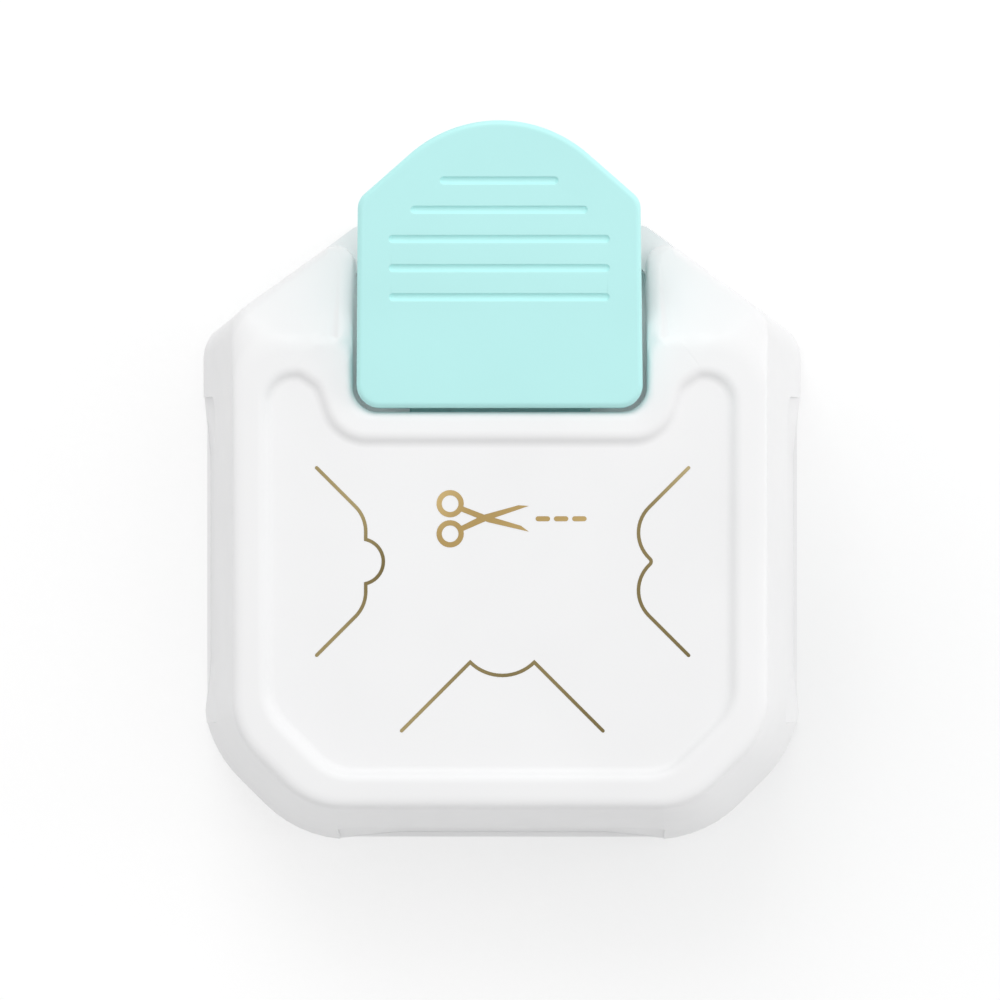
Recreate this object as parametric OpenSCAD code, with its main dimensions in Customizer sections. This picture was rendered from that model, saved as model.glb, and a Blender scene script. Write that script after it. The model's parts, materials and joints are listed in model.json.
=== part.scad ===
// Three-in-one corner punch for paper: a moulded housing with a paper slot on its left, right
// and front sides, a steel punch and die in each slot, and one thumb lever that drives all three.
// X runs to the right, Y to the back and Z up. The origin is the middle of the underside.
// Paper corners are described in a local plan: u points inwards, v along the slot, and the
// paper's tip is at u = v = 0, with its two edges on the lines |v| = -u.

/* [Housing] */
// Half of the housing's width at its foot
half_w = 49.2; // [48.8:0.1:50]
// Distance from the origin to the front edge of the foot
front_y = 50.8; // [50.4:0.1:51.5]
// Distance from the origin to the rear edge of the foot
rear_y = 50.7; // [50.2:0.1:51.5]
// Size of the 45 degree cut across each front corner
front_cut = 16; // [15:0.5:17]
// Half of the rear edge's length, between the two rear corner cuts
rear_half_w = 23.6; // [23:0.1:25]
// Where each rear corner cut starts on the side
shoulder_y = 31.7; // [30:0.1:33]
// Height of the raised rim round the top
crest_z = 38; // [37.8:0.1:38.4]
// Wall thickness of the mouldings
wall = 2.2; // [2:0.1:2.4]
// How far the side walls lean in, in degrees
draft = 10.6; // [10:0.1:11]
// How far the rear walls lean in, in degrees
rear_draft = 3; // [2.5:0.5:4]
// Where the top starts to slope down to the rear, behind the rim
slope_y = 31; // [30.5:0.5:32]
// How steeply it slopes down, in degrees
slope_deg = 33; // [32:1:36]

/* [Notch for the lever] */
// Half of the notch's width
notch_half_w = 23.4; // [23.2:0.1:23.8]
// Where the notch starts, behind the panel
notch_y = 19.3; // [19:0.1:19.6]
// Height of the rear wall inside the notch
notch_rear_z = 22; // [21:0.5:23]
// Top of the floor inside the notch
notch_floor_z = 16; // [15:0.5:16.5]

/* [Lever] */
// Half of the thumb pad's width
pad_half_w = 22.8; // [22:0.1:22.9]
// Front edge of the pad
pad_y = 19.9; // [19.8:0.1:20.8]
// Height of the pad's front edge
pad_z = 39; // [38.5:0.1:39.5]
// Slope of the pad, in degrees
pad_tilt = 15; // [14:0.5:16]
// Where the pad's round tip ends, at the back
pad_tip_y = 64.8; // [64:0.1:65]
// Thickness of the pad's top
pad_t = 2.4; // [2:0.1:3]
// Depth of the pad's skirt
skirt_d = 6.5; // [5:0.5:7]

/* [Mechanism] */
// Distance from the origin forward to the lever's pivot
pivot_y = 36; // [35.5:0.1:36.5]
// Height of the lever's pivot
pivot_z = 30; // [29.8:0.1:30.2]
// Height of the paper table and of the top of the dies
table_z = 9.5; // [9:0.1:10]
// Height of the paper gap above the dies
gap = 1.8; // [1.5:0.1:2]
// Distance from each slot's mouth to the tip of the paper
paper_reach = 26.2; // [26:0.1:26.5]
// Clearance between a punch and its die
punch_clearance = 0.08; // [0.05:0.01:0.15]

/* [Hidden] */

$fn = 48;
far = 200;                      // longer than anything cut here
eps = 0.01;

front_cut_r = 20;               // radius at both ends of a front corner's cut
shoulder_corner_r = 6;
rear_corner_r = 3;
notch_corner_r = 4;
mouth_r = 4;                    // rounded upper corners of a mouth
window_play = 1.1;              // round the lever's arm, in its window
panel_z = crest_z - 1;          // top of the flat panel inside the rim
ceiling_z = panel_z - 2;        // underside of the panel
lip_z = 1;                      // bottom edge of the top housing
well_rear_y = rear_y - 3.4;     // inner face of the rear wall, inside the notch
slot_y = -4.5;                  // middle of the left and right slots
mouth_half_w = paper_reach + 0.8;
mouth_top_z = 15.5;
pinch = 1;                      // how far the tables' outer faces are set back from the foot
front_step = 0.2;               // the front table is set back a little more
pinch_half_w = 17;              // half width of the straight middle of those faces
pinch_deg = 5.2;                // how much their ends swing out
lap = 0.15;                     // how far the cuts for the middle and the ends overlap
cut_size = 20;                  // larger than what they cut off
table_play = 0.1;               // between a table's ends and the ends of its mouth
table_half_w = mouth_half_w - table_play;
table_start = 40;               // where the tables join the rest of the base
table_skin = 3.5;               // plastic round the hollow under a table
deck_t = 2.5;                   // thickness of the tables and of the base's top
base_inset = 4.2;               // how far the base's upper part lies inside the foot
flange_inset = 0.6;             // and its lowest part
side_tip_x = half_w - pinch - paper_reach;   // tip of the paper in the side slots
front_tip_y = front_y - pinch - front_step - paper_reach; // and in the front slot

guide_z = table_z + gap;        // underside of the guide plates
guide_t = 2.5;
guide_half_w = 13.5;            // half width of the narrow, inner part of a guide
hood_half_w = 25;               // and of the wide hood behind the mouth
hood_u = -10;                   // where the hood begins
slope_u = -13;                  // where the hood starts to flare
hood_end_u = -21.7;             // where it ends, just inside the housing's wall
hood_rise = 3.9;

centre_foot_r = 6;              // a foot under the middle of the base carries the load of a punch
die_t = 3.5;
die_u = -14.5;                  // where a die starts, on the mouth's side
die_end_u = 5.5;                // and where it and its guide end
seat_z = 3.5;                   // bottom of the seats under the dies
carrier_z = 22;                 // underside of the punch carrier
carrier_t = 3;
carrier_top_z = carrier_z + carrier_t;
nose_r = 2;                     // rounded nose under the lever that presses the carrier
nose_y = -11.3;
nose_gap = 0.1;
arm_z = 28;                     // underside of the lever's arm
arm_top_z = 33.5;
arm_half_w = 14.4;
groove_y = 18;                  // grip grooves across the pad, counted from its front edge
groove_step = 4.7;
groove_half_len = [16.8, 16.8, 16.8, 13.3, 8.7];
groove_r = 0.6;
groove_d = 0.5;
hub_r = 4;

pin_r = 1.98;
pin_half_len = 21.5;
bracket_x = 15.5;               // inner face of the pivot brackets
bracket_t = 3.5;
bracket_r = 4;                  // its rounded lower end
root = 0.2;                     // how far posts and brackets reach into the ceiling
screw_boss_r = 3.5;
socket_boss_r = 3.2;
clip_x = bracket_x + bracket_t + 0.1;
clip_t = 0.8;

post_r = 1.5;
post_bottom_z = 3;
post_top_z = 33;
socket_z = 28.2;
post_places = [[-20, -24], [20, -24], [-19.5, 12.8], [19.5, 12.8]];
spring_r = 2.7;
spring_wire_r = 0.4;
spring_turns = 5;
spring_sides = 6;

screw_r = 1.5;
thread_play = 0.02;
screw_places = [[-34, -34], [34, -34], [-36, 27], [36, 27]];
station_screw_uv = [3, 10.5];
punch_screw_uv = [-2.8, 2.5];

plastic_white = [0.94, 0.94, 0.94];
plastic_grey = [0.78, 0.79, 0.80];
mint = [0.74, 0.95, 0.93];
steel = [0.62, 0.63, 0.65];
dark_steel = [0.42, 0.43, 0.45];

// ---------- outlines ----------

function unit(v) = v / norm(v);
function mirrored_corners(c) = [for (i = [len(c) - 1:-1:0]) [-c[i].x, c[i].y, c[i][2]]];
function arc(centre, r, from, to, steps = 10) = [
    for (i = [0:steps]) centre + r * [cos(from + (to - from) * i / steps),
                                      sin(from + (to - from) * i / steps)]
];

// The arc that rounds the corner b, between its neighbours a and c, with radius r.
function corner_arc(a, b, c, r, steps) =
    let (to_a = unit(a - b), to_c = unit(c - b), half = acos(to_a * to_c) / 2,
         centre = b + unit(to_a + to_c) * r / sin(half),
         start = b + to_a * r / tan(half) - centre,
         turn = (cross(b - a, c - b) > 0 ? 1 : -1) * (180 - 2 * half))
    [for (i = [0:steps]) centre + [cos(turn * i / steps) * start.x - sin(turn * i / steps) * start.y,
                                   sin(turn * i / steps) * start.x + cos(turn * i / steps) * start.y]];

// A closed outline through corners that are each [x, y, radius].
function rounded(corners, steps = 6) = let (n = len(corners)) [
    for (i = [0:n - 1])
        let (a = corners[(i + n - 1) % n], b = corners[i], c = corners[(i + 1) % n])
        each corner_arc([a.x, a.y], [b.x, b.y], [c.x, c.y], b[2], steps)
];
function symmetric(right_half, steps = 6) = rounded(concat(right_half, mirrored_corners(right_half)), steps);

// The body's outline, with its front and sides brought in by a, and its rear corner cuts and
// rear edge by b.
front_sum = half_w + front_y - front_cut;
rear_normal = unit([rear_y - shoulder_y, half_w - rear_half_w]);
rear_reach = rear_normal * [half_w, shoulder_y];
function body_outline(a, b) =
    let (x = half_w - a, y = front_y - a, cut = front_sum - a * sqrt(2), back = rear_y - b)
    symmetric([
        [cut - y, -y, front_cut_r - a], [x, x - cut, front_cut_r - a],
        [x, (rear_reach - b - rear_normal.x * x) / rear_normal.y, shoulder_corner_r],
        [(rear_reach - b - rear_normal.y * back) / rear_normal.x, back, rear_corner_r],
    ]);
panel_outline = symmetric([
    [27, -38.6, 8], [37.6, -27, 8], [37.6, 25.8, 4], [29.2, 25.8, 4], [26.8, 14.8, 6],
]);
notch_outline = symmetric([[notch_half_w, notch_y, notch_corner_r], [notch_half_w, far, 1]]);
pad_outline = symmetric([
    [pad_half_w, pad_y, 3.6], [pad_half_w - 0.5, 52.5, 3], [8, pad_tip_y, 21.5],
], 10);

// What each punch cuts away, with a margin outside the paper's edges.
margin = 1.2;
function with_margin(cut, leg) = concat(cut, [
    [margin * 0.7 - leg, -leg - margin * 0.7], [margin * 1.4, 0], [margin * 0.7 - leg, leg + margin * 0.7],
]);
// Left: a rounded shoulder, a short flat and a half-round bump towards the tip.
flat_u = -7.1;
shoulder_r = 5.6;
bump_r = 3.6;
bump_in = 0.8;                  // how far its centre lies behind the flat
shoulder_v = -flat_u - shoulder_r * tan(22.5);
left_cut = concat(
    arc([flat_u - shoulder_r, shoulder_v], shoulder_r, 45, 0),
    arc([flat_u - bump_in, 0], bump_r, acos(bump_in / bump_r), -acos(bump_in / bump_r), 16),
    arc([flat_u - shoulder_r, -shoulder_v], shoulder_r, 0, -45));
left_profile = with_margin(left_cut, 8.74);
// Right: two round shoulders that meet in a small point.
lobe_r = 6;
lobe_c = [-8.7 - lobe_r * cos(45), 8.7 - lobe_r * sin(45)];
lobe_end = -asin(lobe_c.y / lobe_r);
right_cut = concat(arc(lobe_c, lobe_r, 45, lobe_end, 16),
                   arc([lobe_c.x, -lobe_c.y], lobe_r, -lobe_end, -45, 16));
right_profile = with_margin(right_cut, 8.7);
// Front: a quarter round bitten out of the corner.
bite_r = 7.2;
front_profile = with_margin(arc([0, 0], bite_r, 135, 225, 16), bite_r * cos(45));

module profile_left(grow = 0) offset(delta = grow) polygon(left_profile);
module profile_right(grow = 0) offset(delta = grow) polygon(right_profile);
module profile_front(grow = 0) offset(delta = grow) polygon(front_profile);

// ---------- placing ----------

// Moves something drawn in a station's local plan to its slot.
module at_left() translate([-side_tip_x, slot_y, 0]) children();
module at_right() mirror([1, 0, 0]) at_left() children();
module at_front() translate([0, -front_tip_y, 0]) rotate([0, 0, 90]) children();
module at_stations() {
    at_left() children();
    at_right() children();
    at_front() children();
}
module at_each(places) for (p = places) translate([p.x, p.y, 0]) children();
module both_sides() for (side = [-1, 1]) scale([side, 1, 1]) children();
module column(r, bottom, top) translate([0, 0, bottom]) cylinder(r = r, h = top - bottom);
module slab(bottom, top) translate([0, 0, bottom]) linear_extrude(top - bottom) children();
module block(x0, x1, y0, y1, z0, z1) translate([x0, y0, z0]) cube([x1 - x0, y1 - y0, z1 - z0]);

// ---------- top housing ----------

// A thin slice of the body at height z, with its walls leaning in and brought in further by inset.
module slice(z, inset) slab(z, z + eps)
    polygon(body_outline((z - lip_z) * tan(draft) + inset, (z - lip_z) * tan(rear_draft) + inset));

module housing_outside() hull() {
    slice(lip_z, 0);
    slice(crest_z - 5, 0);
    slice(crest_z - 1.6, 0.3);
    slice(crest_z - eps, 1.9);
}

module housing_inside() hull() {
    slice(0, wall);
    slice(ceiling_z - eps, wall);
}

// What lies above the sloping rear shoulders, or above a surface that far below them.
module above_slope(below = 0) translate([-far / 2, slope_y, crest_z - below / cos(slope_deg)])
    rotate([-slope_deg, 0, 0]) cube([far, far, far / 2]);

// A mouth through a wall: an arch with rounded upper corners, drawn looking along the slot.
module mouth_shape() polygon(rounded([
    [-mouth_half_w, -5, 1], [mouth_half_w, -5, 1],
    [mouth_half_w, mouth_top_z, mouth_r], [-mouth_half_w, mouth_top_z, mouth_r],
]));
mouth_depth = 9;

module side_mouth() translate([-half_w - 1, slot_y, 0]) rotate([90, 0, 90])
    linear_extrude(mouth_depth) mouth_shape();
module front_mouth() translate([0, mouth_depth - 1 - front_y, 0]) rotate([90, 0, 0])
    linear_extrude(mouth_depth) mouth_shape();

module pivot_bracket() difference() {
    union() {
        block(bracket_x, bracket_x + bracket_t, -pivot_y - bracket_r, -pivot_y + bracket_r,
              pivot_z, ceiling_z + root);
        translate([bracket_x, -pivot_y, pivot_z]) rotate([0, 90, 0]) cylinder(r = bracket_r, h = bracket_t);
    }
    translate([bracket_x - 1, -pivot_y, pivot_z]) rotate([0, 90, 0])
        cylinder(r = pin_r + 0.02, h = bracket_t + 2);
}

module top_housing() color(plastic_white) difference() {
    union() {
        difference() {
            housing_outside();
            difference() {
                housing_inside();
                above_slope(wall);
            }
        }
        intersection() {
            housing_outside();
            slab(notch_floor_z - 2, crest_z) polygon(symmetric([
                [notch_half_w + 2, notch_y - 2, 5], [notch_half_w + 2, well_rear_y + 1, 1]]));
        }
        at_each(screw_places) column(screw_boss_r, table_z, ceiling_z + root);
        at_each(post_places) column(socket_boss_r, socket_z, ceiling_z + root);
        both_sides() pivot_bracket();
    }
    slab(panel_z, crest_z + 1) polygon(panel_outline);
    above_slope();
    // The notch is open at the back above the rear wall, and a closed well below it.
    slab(notch_rear_z, crest_z + 1) polygon(notch_outline);
    block(-notch_half_w, notch_half_w, notch_y, well_rear_y, notch_floor_z, notch_rear_z + 1);
    // The lever's arm comes through this window.
    block(-arm_half_w - window_play, arm_half_w + window_play, notch_y - 3, notch_y + 1,
          notch_floor_z, arm_top_z + 1);
    both_sides() side_mouth();
    front_mouth();
    at_each(screw_places) column(screw_r, table_z - 1, 22);
    at_each(post_places) column(post_r + 0.02, socket_z - 1, post_top_z);
}

// ---------- base housing ----------

module base_inside(z0, z1, inset) slab(z0, z1) polygon(body_outline(inset, inset));

// A paper table fills the lower part of each mouth. Its outer face leans in like the walls and is
// set back by pinch, but its lower edge swings out towards the table's ends.
module lean_cut(y0, y1, lean = draft) rotate([0, -lean, 0]) block(0, cut_size, y0, y1, -cut_size, cut_size);
module table(out) difference() {
    block(table_start, out, -table_half_w, table_half_w, 0, table_z);
    translate([out - pinch, 0, 0]) {
        lean_cut(-pinch_half_w - lap, pinch_half_w + lap);
        for (side = [0, 1]) mirror([0, side, 0]) translate([0, pinch_half_w, 0])
            rotate([0, 0, -pinch_deg]) lean_cut(0, cut_size);
    }
    translate([out, 0, 0]) lean_cut(-far, far, atan(tan(draft) + pinch / table_z));
}

module tables() intersection() {
    base_inside(0, table_z, 0);
    union() {
        both_sides() translate([0, slot_y, 0]) table(half_w);
        rotate([0, 0, -90]) table(front_y - front_step);
    }
}

// The hollow under each table.
module table_hollows(skin) {
    both_sides() block(table_start - 1, half_w - pinch - skin, slot_y - table_half_w + skin,
                       slot_y + table_half_w - skin, -1, table_z - deck_t);
    block(-table_half_w + skin, table_half_w - skin, pinch - front_y + skin, 1 - table_start,
          -1, table_z - deck_t);
}

module die_plan(grow = 0) translate([die_u - grow, -guide_half_w - grow])
    square([die_end_u - die_u + 2 * grow, 2 * guide_half_w + 2 * grow]);

module base_housing() color(plastic_white) difference() {
    union() {
        difference() {
            union() {
                base_inside(0, table_z, base_inset);
                base_inside(0, lip_z, flange_inset);
                tables();
            }
            base_inside(-1, table_z - deck_t, base_inset + wall);
            table_hollows(table_skin);
        }
        at_stations() slab(seat_z, table_z) die_plan(2);
        at_each(post_places) column(3.4, post_bottom_z - 1, table_z);
        at_each(screw_places) column(4.4, 0, table_z);
        column(centre_foot_r, 0, table_z);
    }
    at_stations() {
        slab(table_z - die_t, table_z + 1) die_plan(0.02);
        block(-10.5, 3.5, -9.7, 9.7, -1, table_z);
        for (v = [-1, 1]) translate([station_screw_uv.x, v * station_screw_uv.y, 0])
            column(screw_r - 0.3 + thread_play, seat_z - 1, table_z);
    }
    at_each(post_places) column(post_r, post_bottom_z, table_z + 1);
    at_each(screw_places) {
        column(screw_r + 0.2, -1, table_z + 1);
        column(3.1, -1, 5);
    }
}

// ---------- dies, guides and their screws ----------

module die() color(steel) difference() {
    slab(table_z - die_t, table_z) difference() {
        die_plan();
        children();
    }
    for (v = [-1, 1]) translate([station_screw_uv.x, v * station_screw_uv.y, 0])
        column(screw_r - 0.1, 0, table_z + 1);
}

// A guide holds the paper down and square: a V under it stops the corner's two edges.
module guide() color(plastic_grey) difference() {
    union() {
        slab(guide_z, guide_z + guide_t) translate([hood_u - 1, -guide_half_w])
            square([die_end_u - hood_u + 1, 2 * guide_half_w]);
        slab(table_z, guide_z) difference() {
            translate([die_u + 1, -guide_half_w]) square([die_end_u - die_u - 1, 2 * guide_half_w]);
            polygon([[0, 0], [-40, 40], [-40, -40]]);
        }
        translate([0, hood_half_w, 0]) rotate([90, 0, 0]) linear_extrude(2 * hood_half_w) polygon([
            [hood_u, guide_z], [hood_u, guide_z + guide_t], [slope_u, guide_z + guide_t],
            [hood_end_u, guide_z + guide_t + hood_rise - 0.6], [hood_end_u, guide_z + hood_rise],
            [slope_u, guide_z],
        ]);
    }
    slab(table_z - 1, guide_z + guide_t + 1) children();
    for (v = [-1, 1]) translate([station_screw_uv.x, v * station_screw_uv.y, 0])
        column(screw_r - 0.1, 0, guide_z + guide_t + 1);
}

module die_left() at_left() die() profile_left(punch_clearance);
module die_right() at_right() die() profile_right(punch_clearance);
module die_front() at_front() die() profile_front(punch_clearance);
module guide_left() at_left() guide() profile_left(punch_clearance);
module guide_right() at_right() guide() profile_right(punch_clearance);
module guide_front() at_front() guide() profile_front(punch_clearance);

// A pan-head screw that points down, with a cross slot in its head.
module screw(r, head_z, tip_z, head_r, head_h) difference() {
    union() {
        column(r, tip_z, head_z);
        column(head_r, head_z, head_z + head_h);
    }
    for (turn = [0, 90]) rotate([0, 0, turn])
        block(-head_r * 0.6, head_r * 0.6, -0.3, 0.3, head_z + head_h * 0.45, head_z + head_h + 1);
}

module station_screws() color(dark_steel) at_stations() for (v = [-1, 1])
    translate([station_screw_uv.x, v * station_screw_uv.y, 0])
        screw(screw_r - 0.3, guide_z + guide_t, seat_z, 2.4, 1.5);

module housing_screws() color(dark_steel) at_each(screw_places) difference() {
    union() {
        column(2.7, 3.4, 5);
        column(screw_r - thread_play, 5, 20);
    }
    for (turn = [0, 90]) rotate([0, 0, turn]) block(-1.7, 1.7, -0.35, 0.35, 2, 4.2);
}

// ---------- punches and their carrier ----------

module punch() color(steel) difference() {
    union() {
        slab(guide_z + 0.5, carrier_z) children();
        slab(carrier_z - 2, carrier_z) translate([-12, -10.5]) square([15, 21]);
    }
    for (v = [-1, 1]) translate([punch_screw_uv.x, v * punch_screw_uv.y, 0])
        column(1.25, carrier_z - 6, carrier_z + 1);
}

module punch_left() at_left() punch() profile_left();
module punch_right() at_right() punch() profile_right();
module punch_front() at_front() punch() profile_front();

module punch_screws() color(dark_steel) at_stations() for (v = [-1, 1])
    translate([punch_screw_uv.x, v * punch_screw_uv.y, 0])
        screw(1.25 - thread_play, carrier_top_z, carrier_z - 5.5, 2, 1.4);

module punch_carrier() color(plastic_grey) difference() {
    union() {
        slab(carrier_z, carrier_top_z) {
            polygon(symmetric([[37, slot_y - 8, 3], [37, slot_y + 8, 3]]));
            polygon(symmetric([[9, -38, 3], [9, 0, 1]]));
            polygon(symmetric([[9, -29, 0.5], [20, -27, 3], [30, slot_y - 5, 2], [16, slot_y, 1]]));
        }
        both_sides() block(16.2, 22.8, 0, 12.8, carrier_z, carrier_top_z);
        at_each(post_places) column(3.3, carrier_z, carrier_top_z + 2.5);
    }
    at_each(post_places) column(post_r + 0.05, carrier_z - 1, far);
    at_stations() for (v = [-1, 1]) translate([punch_screw_uv.x, v * punch_screw_uv.y, 0])
        column(1.35, carrier_z - 1, carrier_top_z + 1);
    block(-8, 8, nose_y - 4.5, nose_y + 4.5, carrier_top_z - 0.8, carrier_top_z + 1);
}

module wear_plate() color(steel)
    block(-7.98, 7.98, nose_y - 4.48, nose_y + 4.48, carrier_top_z - 0.8, carrier_top_z);

// ---------- posts and springs ----------

module guide_posts() color(steel) at_each(post_places)
    column(post_r - 0.01, post_bottom_z, post_top_z - 0.3);

// A coil whose end turns lie flat, swept as rings of points round a helix.
function coil_ring(t, low, high) =
    let (lie = 0.12, rise = min(max((t - lie) / (1 - 2 * lie), 0), 1),
         turn = 360 * spring_turns * t, z = low + (high - low) * rise)
    [for (k = [0:spring_sides - 1]) let (a = 360 * k / spring_sides)
        [(spring_r + spring_wire_r * cos(a)) * cos(turn),
         (spring_r + spring_wire_r * cos(a)) * sin(turn), z + spring_wire_r * sin(a)]];

module spring(place) color(dark_steel) translate([post_places[place].x, post_places[place].y, 0]) {
    rings = spring_turns * 14;
    low = table_z + spring_wire_r + 0.02;
    high = carrier_z - spring_wire_r - 0.02;
    points = [for (i = [0:rings]) each coil_ring(i / rings, low, high)];
    sides = [for (i = [0:rings - 1], k = [0:spring_sides - 1])
        let (a = i * spring_sides + k, b = i * spring_sides + (k + 1) % spring_sides)
        [a, a + spring_sides, b + spring_sides, b]];
    last = rings * spring_sides;
    polyhedron(points, concat(sides, [
        [for (k = [0:spring_sides - 1]) k],
        [for (k = [spring_sides - 1:-1:0]) last + k],
    ]));
}

module spring_front_left() spring(0);
module spring_front_right() spring(1);
module spring_rear_left() spring(2);
module spring_rear_right() spring(3);

// ---------- lever and its pin ----------

module along_x(half_len, r) translate([-half_len, 0, 0]) rotate([0, 90, 0]) cylinder(r = r, h = 2 * half_len);
module in_pad_frame() translate([0, pad_y, pad_z]) rotate([pad_tilt, 0, 0]) children();

// A slice of the pad between two depths below its sloping top, with upright sides.
module pad_layer(inset, low, high) intersection() {
    slab(20, 70) offset(delta = -inset) polygon(pad_outline);
    in_pad_frame() block(-30, 30, -10, 60, low, high);
}

module groove(y, half_len) translate([0, y, 0]) {
    block(-half_len, half_len, -groove_r, groove_r, -groove_d, 1);
    both_sides() translate([half_len, 0, 0]) column(groove_r, -groove_d, 1);
}

// The lever's side rib, from the hub along the arm and up under the pad.
rib_outline = [
    [-pivot_y, arm_z], [24, arm_z], [46, 43.4],
    [pad_y + 1.5, 37.1], [pad_y + 2.2, arm_top_z], [-pivot_y, arm_top_z],
];
rib_t = 2.5;
module ribs() for (x = [-arm_half_w, -1.25, arm_half_w - rib_t])
    translate([x, 0, 0]) rotate([90, 0, 90]) linear_extrude(rib_t) polygon(rib_outline);

module lever() color(mint) difference() {
    union() {
        difference() {
            pad_layer(0, -skirt_d, 0);
            pad_layer(2, -skirt_d - 1, -pad_t);
        }
        ribs();
        block(-arm_half_w, arm_half_w, -pivot_y, pad_y + 3, arm_top_z - 2.5, arm_top_z);
        translate([0, -pivot_y, pivot_z]) along_x(arm_half_w, hub_r);
        translate([0, nose_y, carrier_top_z + nose_gap + nose_r]) along_x(7, nose_r);
        block(-7, 7, nose_y - nose_r, nose_y + nose_r, carrier_top_z + nose_gap + nose_r, arm_top_z - 1);
    }
    translate([0, -pivot_y, pivot_z]) along_x(arm_half_w + 1, pin_r + 0.05);
    in_pad_frame() {
        for (row = [0:4]) groove(groove_y + row * groove_step, groove_half_len[row]);
    }
}

module pivot_pin() color(steel) translate([0, -pivot_y, pivot_z]) difference() {
    along_x(pin_half_len, pin_r);
    both_sides() translate([clip_x, 0, 0]) rotate([0, 90, 0]) difference() {
        cylinder(r = pin_r + 1, h = clip_t);
        cylinder(r = 1.5, h = clip_t);
    }
}

module pin_clips() color(dark_steel) both_sides() translate([clip_x, -pivot_y, pivot_z]) rotate([0, 90, 0])
    difference() {
        cylinder(r = 3.4, h = clip_t);
        cylinder(r = 1.5, h = 3 * clip_t, center = true);
        block(0, 5, -1.1, 1.1, -1, clip_t + 1);
    }

top_housing();
base_housing();
lever();
pivot_pin();
pin_clips();
punch_carrier();
wear_plate();
punch_left();
punch_right();
punch_front();
punch_screws();
die_left();
die_right();
die_front();
guide_left();
guide_right();
guide_front();
station_screws();
guide_posts();
spring_front_left();
spring_front_right();
spring_rear_left();
spring_rear_right();
housing_screws();
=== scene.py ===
"""Looks of a three-in-one corner punch: its moulded shells, gold foil, springs and steel works."""

import json
import math

import bmesh
import bpy
from mathutils import Matrix, Vector


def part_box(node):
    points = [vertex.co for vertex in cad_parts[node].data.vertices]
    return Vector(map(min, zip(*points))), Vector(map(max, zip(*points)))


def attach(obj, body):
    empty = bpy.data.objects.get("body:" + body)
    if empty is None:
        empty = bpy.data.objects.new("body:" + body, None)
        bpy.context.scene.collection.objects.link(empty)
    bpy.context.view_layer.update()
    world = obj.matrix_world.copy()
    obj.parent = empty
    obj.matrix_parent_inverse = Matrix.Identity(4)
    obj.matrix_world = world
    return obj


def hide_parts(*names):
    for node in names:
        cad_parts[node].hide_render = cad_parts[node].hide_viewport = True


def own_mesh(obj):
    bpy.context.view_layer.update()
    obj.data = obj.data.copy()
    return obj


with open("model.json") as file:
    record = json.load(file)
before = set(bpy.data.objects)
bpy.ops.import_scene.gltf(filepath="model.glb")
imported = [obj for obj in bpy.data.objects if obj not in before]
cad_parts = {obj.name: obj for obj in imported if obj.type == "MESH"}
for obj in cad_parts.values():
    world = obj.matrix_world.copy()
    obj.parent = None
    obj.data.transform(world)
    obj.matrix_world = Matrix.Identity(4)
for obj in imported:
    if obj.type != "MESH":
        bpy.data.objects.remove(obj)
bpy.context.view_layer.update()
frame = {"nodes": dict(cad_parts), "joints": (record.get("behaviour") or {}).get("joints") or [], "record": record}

MM = 0.001

# ---------------------------------------------------------------- sizes, in millimetres


def box_mm(node):
    low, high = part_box(node)
    return low / MM, high / MM


housing_low, housing_high = box_mm("top_housing")
floor_z = box_mm("base_housing")[0].z
lever_high = box_mm("lever")[1]
spring_nodes = [name for name in frame["nodes"] if name.startswith("spring_")]
hinge = next(joint for joint in frame["joints"] if joint["type"] == "hinge")

half_w = housing_high.x                 # half width of the housing's foot
front_y = -housing_low.y
rear_y = housing_high.y
lip_z = housing_low.z                   # bottom edge of the housing
crest_z = housing_high.z                # top of its rim
panel_z = crest_z - 1.0                 # the flat panel inside the rim
wall = 2.2
front_cut = 16.0                        # size of the 45 degree cut across each front corner
front_cut_r = 20.0                      # and the radius that softens both its ends
rear_half_w = 23.6                      # half of the rear edge's length
shoulder_y = 31.7                       # where each rear corner cut starts
shoulder_r = 6.0
rear_corner_r = 3.0
draft = math.tan(math.radians(10.6))    # lean of the front and side walls
rear_draft = math.tan(math.radians(3.0))
slope_y = 31.0                          # behind this line the shoulders slope down
slope = math.tan(math.radians(33.0))
eighth = math.tan(math.radians(22.5))   # what a rounded 45 degree corner takes off each edge, per radius

notch_half_w = 23.4                     # the lever's notch in the rear of the housing
notch_y = 19.3
notch_corner_r = 4.0
rear_wall_z = 22.0                      # top of the low wall across the notch's rear
well_floor_z = 16.0
well_rear_y = rear_y - 3.4
window_half_w = 15.5                    # window in the notch's front wall, for the lever's arm
window_top_z = 34.5

slot_y = -4.5                           # middle of the side slots
mouth_half_w = 26.65                    # half width of the slots' mouths, whose ends lap the tables' ends
mouth_top_z = 15.5
mouth_r = 4.0
mouth_side_z = mouth_top_z - mouth_r

pivot = Vector(hinge["pos_m"]) / MM
pad_half_w = lever_high.x
pad_y = 19.9                            # front edge of the lever's pad
pad_z = 39.0                            # and its height
pad_tip_y = lever_high.y
pad_tilt = math.radians(15.0)
pad_t = 2.4
skirt_d = 6.5
groove_y, groove_step = 18.0, 4.7       # grip grooves, counted along the pad from its front edge
groove_half_len = (16.8, 16.8, 16.8, 13.3, 8.7)
arm_z, arm_top_z, arm_half_w = 28.0, 33.5, 14.4

# ---------------------------------------------------------------- rings of points


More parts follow.
